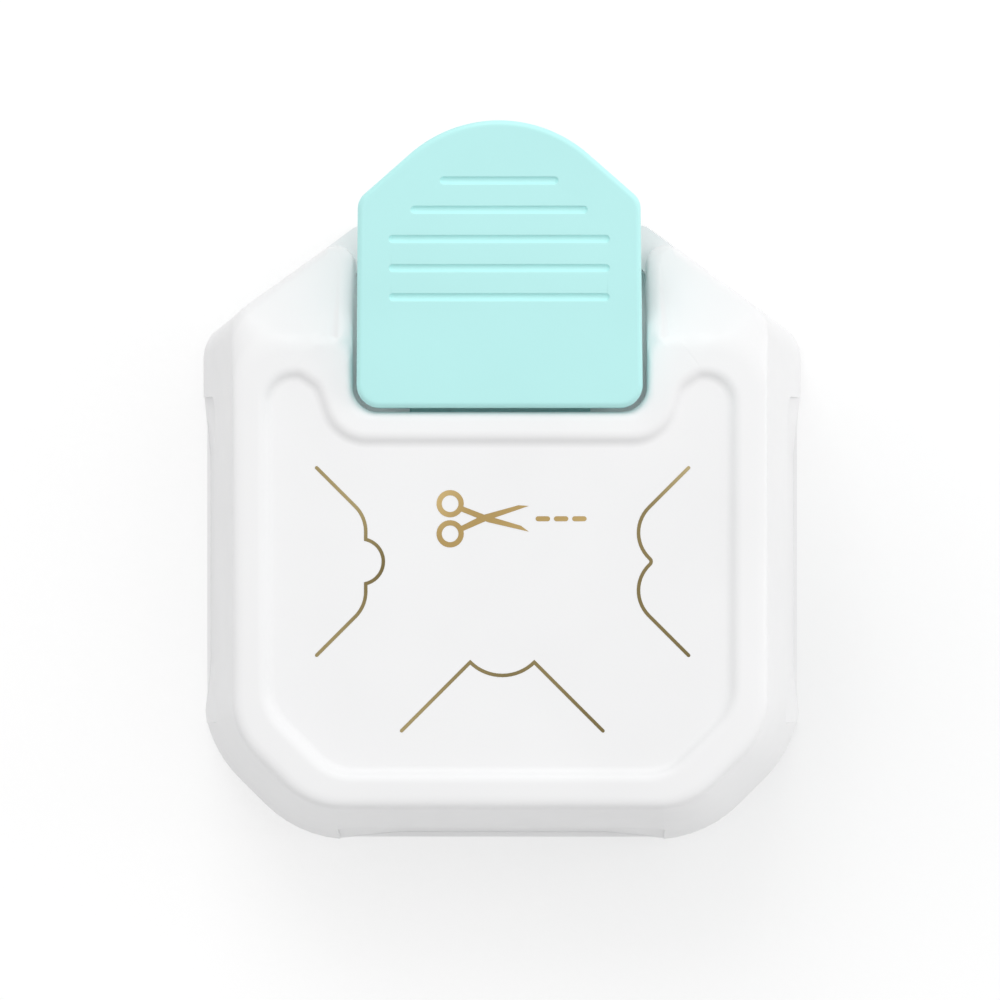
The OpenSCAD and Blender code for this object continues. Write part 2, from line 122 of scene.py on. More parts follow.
def rounding(before, corner, after, radius):
    """A function from 0..1 to points along the arc that rounds a corner.

    A straight corner gives a short line.
    """
    back, on = (before - corner).normalized(), (after - corner).normalized()
    half = back.angle(on) / 2
    if half > math.radians(89):
        start, end = corner + back * radius, corner + on * radius
        return lambda share: start.lerp(end, share)
    centre = corner + (back + on).normalized() * (radius / math.sin(half))
    start = corner + back * (radius / math.tan(half)) - centre
    side = 1 if (corner - before).cross(after - corner) > 0 else -1
    turn = side * (math.pi - 2 * half)
    return lambda share: centre + Matrix.Rotation(turn * share, 2) @ start


def path(start, corners, end, shares):
    """Points from start to end, round corners (x, y, radius).

    shares alternates between the places along an edge and those round the next corner, and ends with an edge.
    """
    stops = [Vector(start)] + [Vector(c[:2]) for c in corners] + [Vector(end)]
    arcs = [rounding(stops[i], stops[i + 1], stops[i + 2], c[2]) for i, c in enumerate(corners)]
    points, here = [stops[0]], stops[0]
    for i, arc in enumerate(arcs):
        points += [here.lerp(arc(0), s) for s in shares[2 * i]]
        points += [arc(s) for s in shares[2 * i + 1]]
        here = arc(1)
    return points + [here.lerp(stops[-1], s) for s in shares[-1]] + [stops[-1]]


def even(count, first=0.0, last=1.0):
    """count evenly spaced shares from first to last, both included."""
    return [first + (last - first) * i / (count - 1) for i in range(count)]


def inner(count):
    """count evenly spaced shares that leave out 0 and 1."""
    return even(count + 2)[1:-1]


def normals(points):
    """Outward normals of a right half ring that runs anticlockwise from x = 0 to x = 0."""
    result = []
    for i, p in enumerate(points):
        before = points[i - 1] if i else Vector((-points[1].x, points[1].y))
        after = points[i + 1] if i + 1 < len(points) else Vector((-points[-2].x, points[-2].y))
        along = (after - before).normalized()
        result.append(Vector((along.y, -along.x)))
    return result


def moved(points, distance):
    """A right half ring moved outwards by distance."""
    return [p + n * distance for p, n in zip(points, normals(points))]


def inset_corners(corners, start, end, inset, least=0.15):
    """The corners of a convex half ring, brought in by inset, with its start and end on x = 0."""
    stops = [Vector(start)] + [Vector(c[:2]) for c in corners] + [Vector(end)]
    result = []
    for i, (x, y, radius) in enumerate(corners):
        corner = stops[i + 1]
        back, on = (stops[i] - corner).normalized(), (stops[i + 2] - corner).normalized()
        shift = (back + on).normalized() * (inset / math.sin(back.angle(on) / 2))
        result.append((x + shift.x, y + shift.y, max(radius - inset, least)))
    return result


def bend(before, corner, after, length, steps):
    """A soft bend, as a quadratic curve that starts and ends at most length away from the corner."""
    start = corner.lerp(before, min(0.48, length / max((before - corner).length, 1e-6)))
    end = corner.lerp(after, min(0.48, length / max((after - corner).length, 1e-6)))
    return [start.lerp(corner, t).lerp(corner.lerp(end, t), t) for t in even(steps + 1)]


# ---------------------------------------------------------------- meshes


class Shape:
    """A mesh under construction, in millimetres."""

    def __init__(self):
        self.bm = bmesh.new()

    def points(self, places):
        return [self.bm.verts.new(p) for p in places]

    def face(self, corners):
        distinct = [v for i, v in enumerate(corners) if v is not corners[i - 1]]
        if len(distinct) > 2:
            self.bm.faces.new(distinct)

    def strip(self, lower, upper, closed=True, keep=lambda i: True):
        count = len(lower) if closed else len(lower) - 1
        for i in range(count):
            if keep(i):
                j = (i + 1) % len(lower)
                self.face([lower[i], lower[j], upper[j], upper[i]])

    def loft(self, rings):
        """A closed strip from each ring to the next."""
        for lower, upper in zip(rings, rings[1:]):
            self.strip(lower, upper)

    def fill(self, loops, normal=(0, 0, 1)):
        """Fills a flat outline, less the holes that the further loops make."""
        edges = []
        for loop in loops:
            for i, v in enumerate(loop):
                pair = (v, loop[(i + 1) % len(loop)])
                edges.append(self.bm.edges.get(pair) or self.bm.edges.new(pair))
        bmesh.ops.triangle_fill(self.bm, edges=edges, use_beauty=True, normal=normal)

    def prism(self, outline, place, low, high):
        """A prism over a closed outline. place(u, v, w) puts the outline and the height w in the frame."""
        bottom = self.points([place(u, v, low) for u, v in outline])
        top = self.points([place(u, v, high) for u, v in outline])
        self.strip(bottom, top)
        self.face(bottom[::-1])
        self.face(top)

    def object(self, name, smooth_deg=38.0, bevel=0.0, bevel_deg=38.0):
        """Welds the mesh and puts it in the scene as a finished piece."""
        bmesh.ops.remove_doubles(self.bm, verts=self.bm.verts, dist=0.002)
        bmesh.ops.dissolve_degenerate(self.bm, edges=self.bm.edges, dist=0.001)
        bmesh.ops.recalc_face_normals(self.bm, faces=self.bm.faces)
        for v in self.bm.verts:
            v.co *= MM
        mesh = bpy.data.meshes.new(name)
        self.bm.to_mesh(mesh)
        self.bm.free()
        piece = bpy.data.objects.new(name, mesh)
        bpy.context.scene.collection.objects.link(piece)
        finish_edges(piece, smooth_deg, bevel, bevel_deg, 3)
        return piece


def finish_edges(piece, smooth_deg, bevel, bevel_deg, bevel_steps, weld=False):
    """Smooth shading, softened edges and normals that keep flat faces flat."""
    mesh = piece.data
    mesh.shade_smooth()
    mesh.set_sharp_from_angle(angle=math.radians(smooth_deg))
    if weld:
        piece.modifiers.new("weld", "WELD").merge_threshold = 0.002 * MM
    if bevel:
        soft = piece.modifiers.new("soft_edges", "BEVEL")
        soft.width = bevel * MM
        soft.segments = bevel_steps
        soft.limit_method = "ANGLE"
        soft.angle_limit = math.radians(bevel_deg)
        soft.harden_normals = True
        soft.miter_outer = "MITER_ARC"
    even_shading = piece.modifiers.new("even_shading", "WEIGHTED_NORMAL")
    even_shading.keep_sharp = True
    even_shading.weight = 80


def mirror_x(points):
    return [Vector((-p[0], *p[1:])) for p in points]


def whole(right_half):
    """A closed ring from its right half, whose ends lie on x = 0."""
    return right_half + mirror_x(right_half)[::-1][1:-1]


# ---------------------------------------------------------------- the top housing

rear_normal = Vector((rear_y - shoulder_y, half_w - rear_half_w)).normalized()
rear_reach = rear_normal.dot(Vector((half_w, shoulder_y)))


def body_corners(z, inset=0.0):
    """The body's plan corners at height z: both ends of the front cut, the shoulder and the rear corner."""
    a = (z - lip_z) * draft + inset
    b = (z - lip_z) * rear_draft + inset
    x, y = half_w - a, front_y - a
    cut = half_w + front_y - front_cut - a * math.sqrt(2)
    back = rear_y - b
    return [
        (cut - y, -y, front_cut_r - a),
        (x, x - cut, front_cut_r - a),
        (x, (rear_reach - b - rear_normal.x * x) / rear_normal.y, shoulder_r),
        ((rear_reach - b - rear_normal.y * back) / rear_normal.x, back, rear_corner_r),
    ]


# Each ear is the rounded end of a shoulder, beside the notch.
ear_r = 2.9
ear_z = 29.5
ear_b = (ear_z - lip_z) * rear_draft
ear_corner = Vector((notch_half_w, (rear_reach - ear_b - rear_normal.x * notch_half_w) / rear_normal.y))
ear_half = math.acos(rear_normal.x) / 2
chamfer = Vector((rear_normal.y, -rear_normal.x))
ear_start = ear_corner + chamfer * (ear_r / math.tan(ear_half))


def ear_foot(z, inset=0.0):
    """The place at height z on the rear corner cut's wall below the ear's start."""
    return ear_start + rear_normal * (ear_b - (z - lip_z) * rear_draft - inset)


def slope_z(y):
    """Height of the shoulders' slope."""
    return crest_z - (y - slope_y) * slope


# Where columns of the shell's points stand. Those round the slots' mouths are closer together.
foot_corners = body_corners(lip_z)
front_arc_x = foot_corners[0][0] - front_cut_r * eighth
side_arc_y = foot_corners[1][1] + front_cut_r * eighth
side_end_y = shoulder_y - shoulder_r * math.tan(ear_half)
arch = [mouth_half_w - mouth_r + mouth_r * math.sin(turn) for turn in even(7, 0.0, math.pi / 2)]
past_mouth = 6                          # columns from a mouth's end to the end of its arc


def front_share(x):
    """Where x lies along the front end of the front corner's rounding, as a share of that arc."""
    return math.asin((x - front_arc_x) / front_cut_r) / math.radians(45)


def side_share(y):
    """Where y lies along the rounding at the cut's side end, as a share of that arc."""
    return 1 - math.asin((side_arc_y - y) / front_cut_r) / math.radians(45)


front_xs = [mouth_half_w * s for s in (0.2, 0.4, 0.6, 0.75)] + arch
side_ys = [slot_y + v for v in [-a for a in arch[::-1]] + even(7, -18.0, 18.0) + arch]
on_edge = [x for x in front_xs if x < front_arc_x]
on_arc = [x for x in front_xs if x > front_arc_x]
side_on_arc = [y for y in side_ys if y < side_arc_y]
side_on_edge = [y for y in side_ys if y > side_arc_y]
front_arc_shares = [front_share(x) for x in on_arc] + even(past_mouth + 1, front_share(mouth_half_w))[1:]
side_arc_shares = even(past_mouth + 1, 0.0, side_share(slot_y - mouth_half_w))[:-1]
side_arc_shares += [side_share(y) for y in side_on_arc]
outer_shares = [
    [x / front_arc_x for x in on_edge],
    [0.0] + front_arc_shares,
    inner(2),
    side_arc_shares + [1.0],
    [(y - side_arc_y) / (side_end_y - side_arc_y) for y in side_on_edge] + [0.95],
    even(9),
    inner(9),
]
notch_shares = [
    even(11), inner(8), even(3), inner(5), even(9),
    [1 - x / (notch_half_w - notch_corner_r) for x in (window_half_w, 10.0, 5.0)],
]
front_mouth_end = len(on_edge) + 1 + len(on_arc)
side_mouth_start = 1 + sum(len(s) for s in outer_shares[:3]) + past_mouth
side_mouth_end = side_mouth_start + len(side_ys)
ear = 1 + sum(len(s) for s in outer_shares)
window_start = ear + sum(len(s) for s in notch_shares[:5])


def in_mouth(i):
    """Whether the strip between columns i and i + 1 is open, below a mouth's arch."""
    j = -i - 1 if i < 0 else i
    return j < front_mouth_end or side_mouth_start <= j < side_mouth_end


def arch_z(v):
    """Height of a mouth's top at v from its middle: straight, with a round corner at each end."""
    over = min(max(abs(v) - (mouth_half_w - mouth_r), 0.0), mouth_r)
    return mouth_side_z + math.sqrt(mouth_r ** 2 - over ** 2)


def mouth_place(i, z, inset):
    """Where column i stands at height z, if it is a mouth's column, and None otherwise."""
    corners = body_corners(z, inset)
    radius = corners[0][2]
    tangent = radius * eighth
    if i <= front_mouth_end:
        x = ([0.0] + on_edge + [front_arc_x] + on_arc)[i]
        over = max(x - (corners[0][0] - tangent), 0.0)
        return Vector((x, corners[0][1] + radius - math.sqrt(radius ** 2 - over ** 2)))
    if side_mouth_start <= i <= side_mouth_end:
        y = (side_on_arc + [side_arc_y] + side_on_edge)[i - side_mouth_start]
        over = max(corners[1][1] + tangent - y, 0.0)
        return Vector((corners[1][0] - radius + math.sqrt(radius ** 2 - over ** 2), y))
    return None


def foot_half(z, inset=0.0, arched=False):
    """Right half of the body's whole outline at height z. An arched ring follows the tops of the mouths."""
    corners = body_corners(z, inset)
    at_ear = ear_foot(z, inset)
    plan = path((0, corners[0][1]), corners[:3], at_ear, outer_shares)
    plan += path(at_ear, corners[3:], (0, corners[3][1]), [inner(2), even(6), inner(3)])[1:]
    points = []
    for i, p in enumerate(plan):
        height = z
        in_line = mouth_place(i, z, inset)
        if in_line is not None and z < rear_wall_z:
            if arched:
                height = arch_z(in_line.x if i <= front_mouth_end else in_line.y - slot_y)
            p = mouth_place(i, height, inset)
        points.append(Vector((p.x, p.y, height)))
    return points


def edge_half():
    """Right half of the line where the walls end: the wall's top outside, and the notch's edge inside."""
    wall_top_z, notch_top_z = crest_z - 3.0, crest_z - 1.5
    corners = body_corners(wall_top_z)[:2]
    x = corners[1][0]
    shoulder = (x, (rear_reach - ear_b - rear_normal.x * x) / rear_normal.y, shoulder_r)
    corners += [shoulder, (*ear_corner, ear_r), (notch_half_w, slope_y - 0.5, 1.0),
                (notch_half_w, notch_y, notch_corner_r)]
    plan = path((0, corners[0][1]), corners, (0, notch_y), outer_shares + notch_shares)
    points = []
    for i, p in enumerate(plan):
        level = wall_top_z if i <= ear else notch_top_z
        points.append(Vector((p.x, p.y, min(level, slope_z(p.y)))))
    return points


def crest_half():
    """Right half of the outer crease of the rim's crest."""
    # Each corner is x, y and radius.
    corners = [
        (30.4, -43.6, 12.5), (42.5, -31.6, 12.5), (42.4, slope_y - 0.4, 8.5),
        (28.0, slope_y - 0.4, 8.0), (24.0, slope_y - 1.2, 2.4), (notch_half_w + 0.4, notch_y - 0.4, 3.6),
    ]
    plan = path((0, corners[0][1]), corners, (0, corners[-1][1]), outer_shares + notch_shares)
    return [Vector((p.x, p.y, crest_z - (0.3 if i <= ear else 0.35))) for i, p in enumerate(plan)]


def panel_half():
    """Right half of the flat panel's edge, in plan."""
    corners = [
        (26.4, -37.6, 8.0), (36.4, -27.6, 8.0), (36.5, 24.6, 3.9),
        (31.9, 24.6, 1.5), (29.4, 22.9, 2.2), (26.4, 14.1, 7.5),
    ]
    return path((0, corners[0][1]), corners, (0, corners[-1][1]), outer_shares + notch_shares)


def at_height(points, z):
    return [Vector((p.x, p.y, z)) for p in points]


def housing_rows():
    """Rows of right half points from the level of the rear wall's top, over the rim, to the panel."""
    edge, crest, plan = edge_half(), crest_half(), panel_half()
    out = normals([e.to_2d() for e in edge])
    step_w = 1.3                        # from the panel's edge up to the rim, and as far in to the flat panel
    rim = at_height(moved(plan, step_w), crest_z - 0.05)
    panel = at_height(plan, panel_z)
    flat = at_height(moved(plan, -step_w), panel_z)
    below = foot_half(rear_wall_z)
    columns = []
    for i, e in enumerate(edge):
        if i <= ear:
            low, toward = below[i], crest[i]
            under = e.lerp(low, 0.5)
            edge_soft, crest_soft = 3.2 if e.y < slope_y else 1.8, 2.0
        else:
            # Beside the lever, the shoulder's inner edge is rounded off towards the notch. The rounding
            # grows over a few columns behind the ear, and fades out where the rim begins.
            share = min((i - ear) / 5, 1.0) * min(max((e.y - slope_y) / 4, 0.0), 1.0)
            beside = e.to_2d() - out[i] * 5.0
            low = Vector((e.x, e.y, rear_wall_z))
            under = Vector((e.x, e.y, min(window_top_z, e.z - 1.6 - 3.4 * share)))
            toward = crest[i].lerp(Vector((*beside, slope_z(beside.y))), share)
            edge_soft, crest_soft = 0.35 + 2.0 * share, 1.2
        column = [low, under]
        column += bend(under, e, toward, edge_soft, 6)
        column += bend(e, crest[i], rim[i], crest_soft, 5)
        column += bend(crest[i], rim[i], panel[i], 0.9, 5)
        column += bend(rim[i], panel[i], flat[i], 0.7, 5)
        columns.append(column)
    return [list(row) for row in zip(*columns)]


def add_cap(shape, rows):
    """The top with its rounded edges, rim and panel, and the notch's walls, open where the window is."""
    count = len(rows[0])
    shape.strip(rows[0], rows[1], keep=lambda i: min(i, count - 1 - i) < window_start)
    shape.loft(rows[1:])
    shape.fill([rows[-1]])


def add_walls(shape):
    """The leaning walls down to the foot, with the slots' mouths left open. Returns the ring at their top."""
    foot = shape.points(whole(foot_half(lip_z)))
    arched = shape.points(whole(foot_half(mouth_side_z, arched=True)))
    top = shape.points(whole(foot_half(rear_wall_z)))
    count = len(foot)

    def walled(i):
        return not in_mouth(i if i < count // 2 else i - count)

    shape.strip(foot, arched, keep=walled)
    shape.strip(arched, top)

    # The inner faces, and the lips that join them to the outer ones.
    in_foot = shape.points(whole(foot_half(lip_z, wall)))
    in_arched = shape.points(whole(foot_half(mouth_side_z, wall, arched=True)))
    in_top = shape.points(whole(at_height(foot_half(rear_wall_z - 0.5, wall), well_floor_z + 2)))
    shape.strip(in_foot, in_arched, keep=walled)
    shape.strip(in_arched, in_top)
    shape.strip(foot, in_foot, keep=walled)
    shape.strip(arched, in_arched, keep=lambda i: not walled(i))
    for i in range(count):
        if walled(i) != walled(i - 1):
            shape.face([foot[i], arched[i], in_arched[i], in_foot[i]])
    return top


def add_well(shape, rear, notch):
    """The low wall across the notch's rear, whose outer edge is rear, and the well below the notch's ring."""
    gusset = (notch_half_w + 1.5, 40.5)
    corners = [(notch_half_w + 0.2, 41.5, 0.3), (notch_half_w - 4.4, well_rear_y, 2.0)]
    inside = path(gusset, corners, (0, well_rear_y), [[], even(3), [], even(5), inner(3)])
    inside = at_height(inside, rear_wall_z)
    inside += mirror_x(inside)[::-1][1:]
    rim = shape.points(inside)
    shape.strip(rear, rim, closed=False)
    shape.strip(rim, shape.points(at_height(inside, well_floor_z)), closed=False)
    first = window_start - ear
    window = range(first, len(notch) - 1 - first)
    notch_foot = shape.points(at_height([v.co for v in notch], well_floor_z))
    shape.strip(notch_foot, notch, closed=False, keep=lambda i: i not in window)
    floor_half_w, floor_start_y, floor_end_y = 27.0, notch_y - 1, well_rear_y - 0.4
    shape.face(shape.points([Vector((side * floor_half_w, y, well_floor_z)) for side, y in (
        (-1, floor_start_y), (1, floor_start_y), (1, floor_end_y), (-1, floor_end_y))]))


def add_window(shape):
    """The sides and the top of the window for the lever's arm."""
    window_y = notch_y - wall
    for x in (-window_half_w, window_half_w):
        shape.face(shape.points([Vector((x, y, z)) for y, z in (
            (notch_y, well_floor_z), (window_y, well_floor_z),
            (window_y, window_top_z), (notch_y, window_top_z))]))
    shape.face(shape.points([Vector((side * window_half_w, y, window_top_z)) for side, y in (
        (-1, window_y), (1, window_y), (1, notch_y), (-1, notch_y))]))


def make_housing():
    shape = Shape()
    rows = [shape.points(whole(row)) for row in housing_rows()]
    add_cap(shape, rows)
    top = add_walls(shape)
    # Between the two ears, each ring follows the notch.
    add_well(shape, top[ear:len(top) - ear + 1], rows[0][ear:len(rows[0]) - ear + 1])
    add_window(shape)
    return shape.object("housing_shell", bevel=0.4, bevel_deg=45)


housing = make_housing()
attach(housing, "housing")
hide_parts("top_housing")

# ---------------------------------------------------------------- the lever


def in_pad_frame(x, along, up=0.0):
    """A place on the pad's sloping top, along it from its front edge."""
    return Vector((
        x,
        pad_y + along * math.cos(pad_tilt) - up * math.sin(pad_tilt),
        pad_z + along * math.sin(pad_tilt) + up * math.cos(pad_tilt),
    ))


def pad_top_z(y):
    """Height of the pad's top."""
    return pad_z + (y - pad_y) * math.tan(pad_tilt)


pad_corners = [(pad_half_w, pad_y, 3.6), (pad_half_w - 0.5, 52.5, 3.0), (8.0, pad_tip_y, 21.5)]
pad_shares = [inner(6), even(11), inner(10), even(7), inner(4), even(17), []]


def pad_ring(inset, drop):
    """Right half of the pad's outline, brought in by inset, at drop below its sloping top."""
    start, end = (0, pad_y), (0, pad_tip_y)
    corners = inset_corners(pad_corners, start, end, inset)
    plan = path((0, corners[0][1]), corners, (0, corners[-1][1]), pad_shares)
    return [Vector((p.x, p.y, pad_top_z(p.y) - drop)) for p in plan]


def groove_loop(along, half_len, half_width, up):
    """A long loop with round ends on the pad's top."""
    turns = even(9, -math.pi / 2, math.pi / 2)
    right = [(half_len + half_width * math.cos(t), along + half_width * math.sin(t)) for t in turns]
    left = [(-x, 2 * along - y) for x, y in right]
    return [in_pad_frame(x, y, up) for x, y in right + left]


# Half width and depth of a groove's loops, from its softened edge down to its round bottom.
groove_section = [(0.72, 0.0), (0.62, -0.04), (0.54, -0.16), (0.42, -0.33), (0.24, -0.43), (0.05, -0.46)]


def make_pad():
    """The thumb pad: a skirted shell with a softened edge and grip grooves."""
    shape = Shape()
    edge_r, lip, skirt_t = 0.9, 0.5, 2.0
    skirt, under = skirt_d / math.cos(pad_tilt), pad_t / math.cos(pad_tilt)
    section = [(lip, skirt), (0.13, skirt - 0.13), (0.0, skirt - lip), (0.0, skirt / 2)]
    for step in even(8, 0, math.pi / 2):
        section.append((edge_r * (1 - math.cos(step)), edge_r * (1 - math.sin(step))))
    rings = [shape.points(whole(pad_ring(inset, drop))) for inset, drop in section]
    shape.loft(rings)
    loops = [rings[-1]]
    for row, half_len in enumerate(groove_half_len):
        along = groove_y + groove_step * row
        sections = [shape.points(groove_loop(along, half_len, w, up)) for w, up in groove_section]
        shape.loft(sections)
        shape.face(sections[-1])
        loops.append(sections[0])
    shape.fill(loops, normal=(0, -math.sin(pad_tilt), math.cos(pad_tilt)))

    # The hollow underside.
    hollow = [(skirt_t - lip, skirt), (skirt_t, skirt - lip), (skirt_t, under + 0.6), (skirt_t + 0.6, under)]
    hollow_rings = [rings[0]] + [shape.points(whole(pad_ring(inset, drop))) for inset, drop in hollow]
    shape.loft(hollow_rings)
    shape.fill([hollow_rings[-1]], normal=(0, math.sin(pad_tilt), -math.cos(pad_tilt)))
    return shape.object("lever_pad")


def across(u, v, w):
    """A place in the frame from a side view's u, v and the height w of a prism along x."""
    return Vector((w, u, v))


def circle(radius, steps=32):
    """A circle round the pivot, in the side view."""
    turns = [math.tau * i / steps for i in range(steps)]
    return [(pivot.y + radius * math.cos(t), pivot.z + radius * math.sin(t)) for t in turns]


def make_arm():
    """The arm under the pad: ribs, web, the hub round the pin and the nose that presses the carrier."""
    shape = Shape()
    hub_r, pin_hole_r = 4.0, 2.03
    arm_y = pivot.y + 2.6               # the ribs and the web end inside the hub, clear of the pin
    rib_t, web_t = 2.5, 2.5
    rib_top_z = arm_top_z - 0.1
    rib = [(arm_y, arm_z), (24.0, arm_z), (46.0, 43.4), (pad_y + 1.5, 37.1), (pad_y + 2.2, rib_top_z),
           (arm_y, rib_top_z)]
    for x in (-arm_half_w, -rib_t / 2, arm_half_w - rib_t):
        shape.prism(rib, across, x, x + rib_t)
    web_z, web_end_y, web_half_w = arm_top_z - web_t, pad_y + 3, arm_half_w - 0.05
    web = [(arm_y, web_z), (web_end_y, web_z), (web_end_y, arm_top_z), (arm_y, arm_top_z)]
    shape.prism(web, across, -web_half_w, web_half_w)
    ends = []
    for x in (-arm_half_w, arm_half_w):
        ends.append([shape.points([across(u, v, x) for u, v in circle(r)]) for r in (hub_r, pin_hole_r)])
        shape.strip(*ends[-1])
    shape.strip(ends[0][0], ends[1][0])
    shape.strip(ends[0][1], ends[1][1])
    nose_r, nose_y, nose_z, nose_half_w = 2.0, -11.3, 27.1, 7.0
    half_turn = [math.pi + math.pi * i / 12 for i in range(13)]
    nose = [(nose_y + nose_r * math.cos(t), nose_z + nose_r * math.sin(t)) for t in half_turn]
    nose += [(nose_y + nose_r, arm_top_z - 1), (nose_y - nose_r, arm_top_z - 1)]
    shape.prism(nose, across, -nose_half_w, nose_half_w)
    return shape.object("lever_arm", bevel=0.3, bevel_deg=50)


lever_pad = make_pad()
lever_arm = make_arm()
for piece in (lever_pad, lever_arm):
    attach(piece, "lever")
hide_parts("lever")

# ---------------------------------------------------------------- springs


def make_spring(node):
    """A round-wire compression spring whose end turns lie flat."""
    low, high = box_mm(node)
    centre = (low + high) / 2
    wire_r, turns, sides, steps = 0.4, 5.0, 10, 200
    coil_r = (high.x - low.x) / 2 - wire_r
    flat = 0.12                         # share of the wire that lies flat at each end
    shape = Shape()
    rings = []
    for i in range(steps + 1):
        t = i / steps
        rise = min(max((t - flat) / (1 - 2 * flat), 0.0), 1.0)
        z = low.z + wire_r + (high.z - low.z - 2 * wire_r) * rise
        turn = math.tau * turns * t
        out = Vector((math.cos(turn), math.sin(turn), 0))
        ring = []
        for k in range(sides):
            a = math.tau * k / sides
            place = out * (coil_r + wire_r * math.cos(a))
            ring.append(Vector((centre.x + place.x, centre.y + place.y, z + wire_r * math.sin(a))))
        rings.append(shape.points(ring))
    shape.loft(rings)
    shape.face(rings[0][::-1])
    shape.face(rings[-1])
    spring = shape.object(node.replace("spring_", "coil_"), smooth_deg=60)
    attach(spring, "housing")
    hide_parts(node)
    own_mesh(spring)
    return spring


springs = [make_spring(node) for node in spring_nodes]

# ---------------------------------------------------------------- gold foil on the panel

foil_z = panel_z + 0.03
line_half_w = 0.28


def arc_line(centre, radius, first_deg, last_deg, steps=16):
    """Points of an arc in plan."""
    turns = [math.radians(a) for a in even(steps + 1, first_deg, last_deg)]
    return [Vector((centre[0] + radius * math.cos(t), centre[1] + radius * math.sin(t))) for t in turns]


def add_line(shape, line, half_width=line_half_w, closed=False):
    """A thin flat line with round ends, or a thin closed loop, a little above the panel."""
    count = len(line)
    left, right = [], []
    for i, p in enumerate(line):
        before = line[i - 1] if i or closed else p
        after = line[(i + 1) % count] if i + 1 < count or closed else p
        first = (p - before).normalized() if before != p else (after - p).normalized()
        second = (after - p).normalized() if after != p else first
        along = (first + second).normalized()
        out = Vector((-along.y, along.x)) * (half_width / max(along.dot(second), 0.5))
        left.append(p + out)
        right.append(p - out)
    if closed:
        sides = [[Vector((*p, foil_z)) for p in side] for side in (left, right)]
        inner_loop, outer_loop = shape.points(sides[0]), shape.points(sides[1])
        shape.strip(inner_loop, outer_loop)
        return
    ends = []
    for tip, on in ((line[0], line[0] - line[1]), (line[-1], line[-1] - line[-2])):
        heading = math.degrees(math.atan2(on.y, on.x))
        ends.append(arc_line(tip, half_width, heading - 90, heading + 90, 8)[1:-1])
    outline = right + ends[1] + left[::-1] + ends[0]
    shape.fill([shape.points([Vector((*p, foil_z)) for p in outline])])


def foil_piece(name, line):
    """One foil outline on the panel."""
    shape = Shape()
    add_line(shape, line)
    piece = shape.object(name)
    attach(piece, "housing")
    return piece


# The cuts, in the plan of the paper's corner: u points inwards, v along the slot, and the tip is at 0, 0.
leg_end = 14.9                          # where the two legs of an outline end
cos_45 = math.cos(math.radians(45))


def bump_cut():
    """Round shoulders, short flats and a half-round bump."""
    flat_u, bump_r, bump_in, bend_r = -7.1, 3.6, 0.8, 5.6
    bend_u, bend_v = flat_u - bend_r, -flat_u - bend_r * eighth
    bump_deg = math.degrees(math.acos(bump_in / bump_r))
    line = [Vector((-leg_end, leg_end))]
    line += arc_line((bend_u, bend_v), bend_r, 45, 0, 10)
    line += arc_line((flat_u - bump_in, 0), bump_r, bump_deg, -bump_deg, 20)
    line += arc_line((bend_u, -bend_v), bend_r, 0, -45, 10)
    return line + [Vector((-leg_end, -leg_end))]


def bracket_cut():
    """Two round shoulders that meet in a small rounded nose."""
    bend_r, bend_start, nose_r = 5.66, 8.6, 0.6
    bend_u, bend_v = -bend_start - bend_r * cos_45, bend_start - bend_r * cos_45
    nose_turn = math.asin(bend_v / (bend_r + nose_r))
    nose_u = bend_u + (bend_r + nose_r) * math.cos(nose_turn)
    nose_deg = math.degrees(nose_turn)
    line = [Vector((-leg_end, leg_end))]
    line += arc_line((bend_u, bend_v), bend_r, 45, -nose_deg, 14)
    line += arc_line((nose_u, 0), nose_r, 180 - nose_deg, 180 + nose_deg, 8)[1:-1]
    line += arc_line((bend_u, -bend_v), bend_r, nose_deg, -45, 14)
    return line + [Vector((-leg_end, -leg_end))]


def bite_cut():
    """A quarter round bitten out of the corner, here with u along x and the tip towards the back."""
    bite_r, bite_leg_end = 7.2, 16.0
    line = [Vector((-bite_leg_end, -bite_leg_end))]
    line += arc_line((0, 0), bite_r, 225, 315, 16)
    return line + [Vector((bite_leg_end, -bite_leg_end))]


left_tip_x, right_tip_x = -14.2, 15.1
front_tip = Vector((0.4, -15.4))
foil_outlines = [
    foil_piece("foil_left", [Vector((left_tip_x + p.x, slot_y + p.y)) for p in bump_cut()]),
    foil_piece("foil_right", [Vector((right_tip_x - p.x, slot_y + p.y)) for p in bracket_cut()]),
    foil_piece("foil_front", [front_tip + p for p in bite_cut()]),
]


